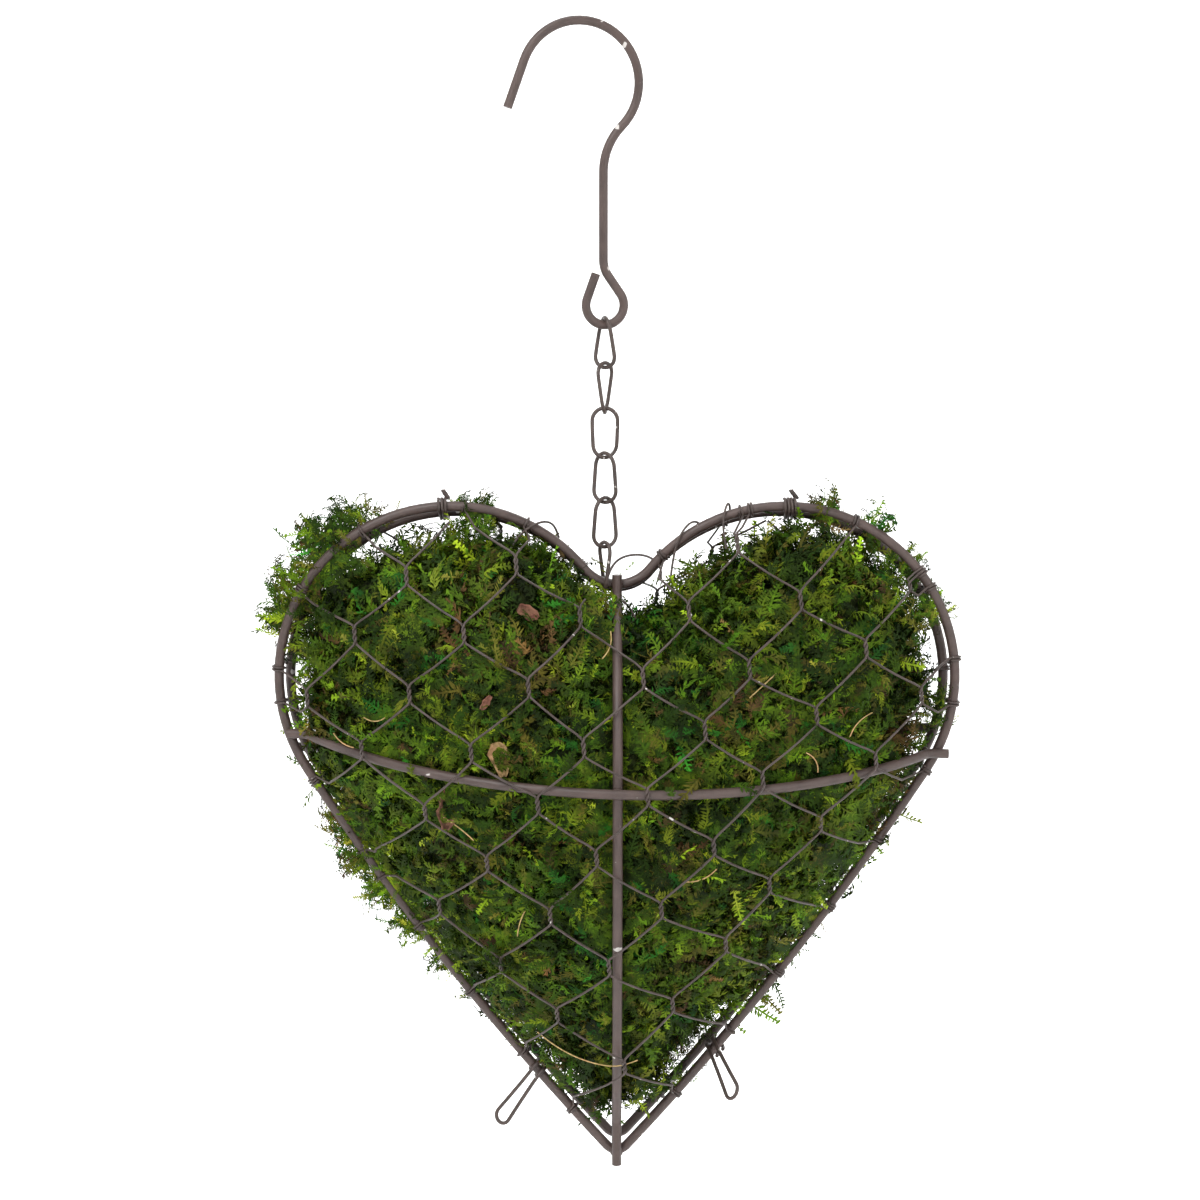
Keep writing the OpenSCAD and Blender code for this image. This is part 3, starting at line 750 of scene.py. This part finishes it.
def tucked_in(points, facing, loose):
    x, z = points[..., 0] - heart[0], points[..., 2] - heart[2]
    rim_y = heart[1] if facing < 0 else back_heart[1]
    proud = (points[..., 1] - rim_y) * facing - bulge(x, z) + 1.0 * MM
    proud = proud + 3 * MM * np.exp(-(x / (5 * MM)) ** 2)
    held = np.maximum(proud, 0) * np.where(loose[:, None] & (abs(x) > 12 * MM), 0.2, 0.92)
    tucked = points.copy()
    tucked[..., 1] -= held * facing
    return tucked


def fronds(name, body, patterns, at, normals, sizes, leaning, rng, painted_brightness=1.0, loose_share=0.05):
    flow = wander(at, 13 * MM, 1) * 2.6 + rng.normal(0, 0.34, at.shape) + leaning
    flow = unit(flow - normals * (flow * normals).sum(axis=1, keepdims=True))
    y = unit(flow + normals * rng.uniform(0.05, 0.75, (len(at), 1)))
    x = unit(np.cross(y, normals + rng.normal(0, 0.45, at.shape)))
    z = np.cross(x, y)
    # painted_brightness scales the whole tint: below 1 it is painted shade, above 1 painted light.
    tint = tints(at, rng) * painted_brightness
    loose = rng.random(len(at)) < loose_share
    facing = -1 if body == "front_half" else 1
    choice = rng.integers(0, len(patterns), len(at))
    points, faces, shades, total = [], [], [], 0
    for k, (shape, triangles) in enumerate(patterns):
        mine = np.flatnonzero(choice == k)
        axes = np.stack([x[mine], y[mine], z[mine]], axis=1) * sizes[mine, None, None]
        placed = tucked_in(np.einsum("pi,nij->npj", shape, axes) + at[mine, None], facing, loose[mine])
        points.append(placed.reshape(-1, 3))
        faces.append((triangles[None] + total + np.arange(len(mine))[:, None, None] * len(shape)).reshape(-1, 3))
        # Painted shade and light along each frond: the tint falls to 0.16 at the foot, deep in the mat, and rises
        # to 1.3 at the tip. The paler tip is partly the frond's own colour and partly painted light.
        foot_shade_tip_light = 0.16 + 1.14 * shape[:, 1].clip(0, 1)
        shades.append((tint[mine, None] * foot_shade_tip_light[None, :, None]).reshape(-1, 3))
        total += placed.shape[0] * placed.shape[1]
    points, faces, shades = np.vstack(points), np.vstack(faces), np.vstack(shades)
    mesh = bpy.data.meshes.new(name)
    mesh.from_pydata(points, [], faces)
    layer = mesh.color_attributes.new("tint", "FLOAT_COLOR", "POINT")
    layer.data.foreach_set("color", np.c_[shades, np.ones(len(shades))].astype(np.float32).ravel())
    piece = bpy.data.objects.new(name, mesh)
    bpy.context.scene.collection.objects.link(piece)
    return finished(piece, frond_finish, body, "moss")


droop = np.array([0, 0, -0.25])
clip_low, clip_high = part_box("right_clip")
moving_wire = {"front": (clip_low[0], clip_high[2]), "back": (heart[0] - 4.5 * MM, heart[2])}
layers = {"front": (12500, 5, 6600, 3), "back": (6800, 3, 2600, 1)}
for seed, half in enumerate(halves):
    rng = np.random.default_rng(40 + seed)
    under, under_pieces, over, over_pieces = layers[half]
    at, normals = roots(cores[half], under, (-1, 1)[seed], rng)
    for k, part in enumerate(np.array_split(np.argsort(at[:, 2]), under_pieces), 1):
        sizes = rng.uniform(8, 15, len(part)) * MM
        # The under layer lies in the shade of the upper one, so its tint is darkened to 0.66 as painted shade.
        fronds(f"{half}_under_moss_{k}", f"{half}_half", short_fronds, at[part], normals[part], sizes, droop, rng,
               painted_brightness=0.66)
    at, normals = roots(cores[half], over, (-1, 1)[seed], rng)
    wire_x, wire_z = moving_wire[half]
    clear = np.hypot(at[:, 0] - wire_x, at[:, 2] - wire_z) > 19 * MM
    at, normals = at[clear] + normals[clear] * 1.5 * MM, normals[clear]
    for k, part in enumerate(np.array_split(np.argsort(at[:, 2]), over_pieces), 1):
        sizes = rng.uniform(10, 24, len(part)) * MM
        # The upper layer's tint is brightened 1.2 times as painted light.
        fronds(f"{half}_over_moss_{k}", f"{half}_half", long_fronds, at[part], normals[part], sizes, droop, rng,
               painted_brightness=1.2, loose_share=0.12)

# %% [markdown]
# ## Stray sprigs
# Here and there a tuft has worked out past the rim. Each is a handful of longer fronds that start
# at the edge of the lining and lean outwards.

# %% Add the stray sprigs
def stray_tufts(spots, rng):
    at, out, sizes = [], [], []
    for x, z, spread, count, size in spots:
        for k in range(count):
            spot = np.array([x + rng.uniform(-spread, spread), rng.uniform(-8, 3),
                             z + rng.uniform(-spread, spread)]) * MM
            outward = np.array([spot[0], 0, spot[2] + belly_drop])
            at.append(heart + spot)
            out.append(outward / np.linalg.norm(outward))
            sizes.append(size * rng.uniform(0.6, 1.15) * MM)
    return np.array(at), np.array(out), np.array(sizes)


# Each tuft: across, up, spread, number of fronds, and their size, in millimetres from the notch.
tufts = [(-105, 12, 8, 130, 17), (-114, -4, 7, 120, 17), (-121, -14, 4, 50, 16), (-97, 20, 6, 70, 14),
         (-86, 24, 4, 14, 12), (74, 24, 4, 46, 17), (93, 20, 4, 14, 16), (111, -12, 6, 70, 13),
         (-50, 23, 6, 110, 12),
         (-97, -86, 7, 120, 14), (-92, -100, 7, 130, 14), (-83, -112, 7, 120, 14), (-73, -125, 6, 110, 13),
         (-62, -138, 6, 80, 12), (-52, -150, 5, 40, 11), (66, -122, 6, 90, 14), (56, -136, 5, 60, 14),
         (-42, -160, 5, 16, 11), (26, -184, 4, 12, 12), (114, -46, 6, 50, 12), (104, 4, 6, 60, 12),
         (82, -100, 6, 50, 11)]
rng = np.random.default_rng(7)
at, normals, sizes = stray_tufts(tufts, rng)
# The stray sprigs' tint is brightened 1.5 times as painted light.
fronds("stray_sprigs", "front_half", long_fronds, at, normals, sizes, normals * 1.2, rng, 1.5)

# %% [markdown]
# ## Litter in the moss
# Dried moss comes with bits of the forest floor: a tan leaf, a flake of bark, straws and flecks.
# A leaf is a small grid pinched to points at its ends and cupped.

# %% Add the litter
def flake(name, x, z, length, width, turn, finish):
    bm = bmesh.new()
    grid = bmesh.ops.create_grid(bm, x_segments=6, y_segments=10, size=0.5)
    for v in grid["verts"]:
        along = v.co.y + 0.5
        ragged = noise.noise(Vector((x / MM, along * 5, v.co.x * 3)))
        wide = math.sin(math.pi * (0.06 + 0.8 * along)) ** 0.8 * (1 + 0.6 * ragged)
        v.co = Vector((v.co.x * width * wide, (along - 0.5) * length,
                       (4 * v.co.x ** 2 * 0.35 - math.sin(math.pi * along) * 0.4) * width * 0.7))
    upright_turn = Matrix.Rotation(math.pi / 2, 3, "X") @ Matrix.Rotation(degrees(turn), 3, "Z")
    bmesh.ops.rotate(bm, matrix=upright_turn, verts=bm.verts)
    y = -float(bulge(x, z)) + 0.4 * MM
    bmesh.ops.translate(bm, vec=Vector(heart + [x, y, z]), verts=bm.verts)
    bmesh.ops.solidify(bm, geom=bm.faces, thickness=0.25 * MM)
    mesh = bpy.data.meshes.new(name)
    bm.to_mesh(mesh)
    bm.free()
    mesh.polygons.foreach_set("use_smooth", [True] * len(mesh.polygons))
    piece = bpy.data.objects.new(name, mesh)
    bpy.context.scene.collection.objects.link(piece)
    return finished(piece, finish, "front_half", "moss")


flake("tan_leaf", -42 * MM, -57 * MM, 12.5 * MM, 6.5 * MM, 12, leaf_finish)
flake("bark_flake", -61 * MM, -77 * MM, 15 * MM, 8 * MM, -8, bark_finish)
flake("upper_leaf", -32 * MM, -6 * MM, 8 * MM, 4.5 * MM, 60, bark_finish)
flake("orange_fleck", -47 * MM, -37 * MM, 6 * MM, 2.4 * MM, -35, bark_finish)
rng = np.random.default_rng(11)
straws = []
for x, z, length, turn in ((-11, -170, 38, -12), (52, -31, 13, 40), (-58, -84, 15, -35), (-88, -45, 8, 5),
                           (-100, -55, 9, -30), (88, -49, 14, 50), (-4, -18, 9, 70), (30, -100, 12, 20),
                           (70, -60, 9, -60), (-35, -120, 11, 75)):
    t = np.linspace(-0.5, 0.5, 16)
    bow = rng.uniform(-0.18, 0.18) * length * (1 - 4 * t ** 2)
    turn = degrees(turn)
    xs = (x + length * t * math.cos(turn) - bow * math.sin(turn)) * MM
    zs = (z + length * t * math.sin(turn) + bow * math.cos(turn)) * MM
    straws.append(heart + np.c_[xs, -bulge(xs, zs) - (2.2 if length > 30 else 0.2) * MM, zs])
finished(swept("straws", straws, 0.45 * MM, roundness=1), straw_finish, "front_half", "moss")

# %% [markdown]
# ## Floor and light
# A hanging thing is best shown against plain white. A wide pale bowl is both floor and backdrop,
# so no edge shows from any side. Big soft lights high in front and at the sides give the wires
# their long gentle highlights.

# %% Set the studio
bowl = bmesh.new()
floor_z, bowl_r, bowl_curve = -0.75, 3.2, 1.2
profile = [bowl.verts.new((r, 0, z)) for r, z in [(0.001, floor_z), (bowl_r - bowl_curve, floor_z)]
           + [(bowl_r - bowl_curve + bowl_curve * math.sin(a), floor_z + bowl_curve * (1 - math.cos(a)))
              for a in np.radians(np.arange(10, 91, 10))] + [(bowl_r, 3.0)]]
edges = [bowl.edges.new(pair) for pair in zip(profile, profile[1:])]
bmesh.ops.spin(bowl, geom=profile + edges, cent=(0, 0, 0), axis=(0, 0, 1), angle=2 * math.pi,
               steps=64, use_merge=True)
mesh = bpy.data.meshes.new("studio_floor")
bowl.to_mesh(mesh)
bowl.free()
mesh.polygons.foreach_set("use_smooth", [True] * len(mesh.polygons))
floor = bpy.data.objects.new("studio_floor", mesh)
bpy.context.scene.collection.objects.link(floor)
white = bpy.data.materials.new("studio_white")
white.use_nodes = True
white_shader = white.node_tree.nodes["Principled BSDF"]
white_shader.inputs["Base Color"].default_value = (0.86, 0.86, 0.86, 1)
white_shader.inputs["Emission Color"].default_value = (1, 1, 1, 1)
white_shader.inputs["Emission Strength"].default_value = 0.5
mesh.materials.append(white)


def soft_light(name, at, width, power):
    data = bpy.data.lights.new(name, "AREA")
    data.size, data.energy = width, power
    lamp = bpy.data.objects.new(name, data)
    lamp.location = at
    lamp.rotation_euler = (Vector(at) - aim).to_track_quat("Z", "Y").to_euler()
    bpy.context.scene.collection.objects.link(lamp)


soft_light("key", (-0.7, -1.2, 1.3), 0.7, 40)
soft_light("fill", (1.2, -1.2, 0.3), 1.1, 10)
soft_light("top", (0.1, 0.1, 1.5), 1.2, 16)
soft_light("back", (0.4, 1.6, 0.6), 1.2, 10)
world = bpy.data.worlds.new("studio")
world.use_nodes = True
world.node_tree.nodes["Background"].inputs["Color"].default_value = (1, 1, 1, 1)
world.node_tree.nodes["Background"].inputs["Strength"].default_value = 0.6
bpy.context.scene.world = world
bpy.context.scene.view_settings.view_transform = "Standard"
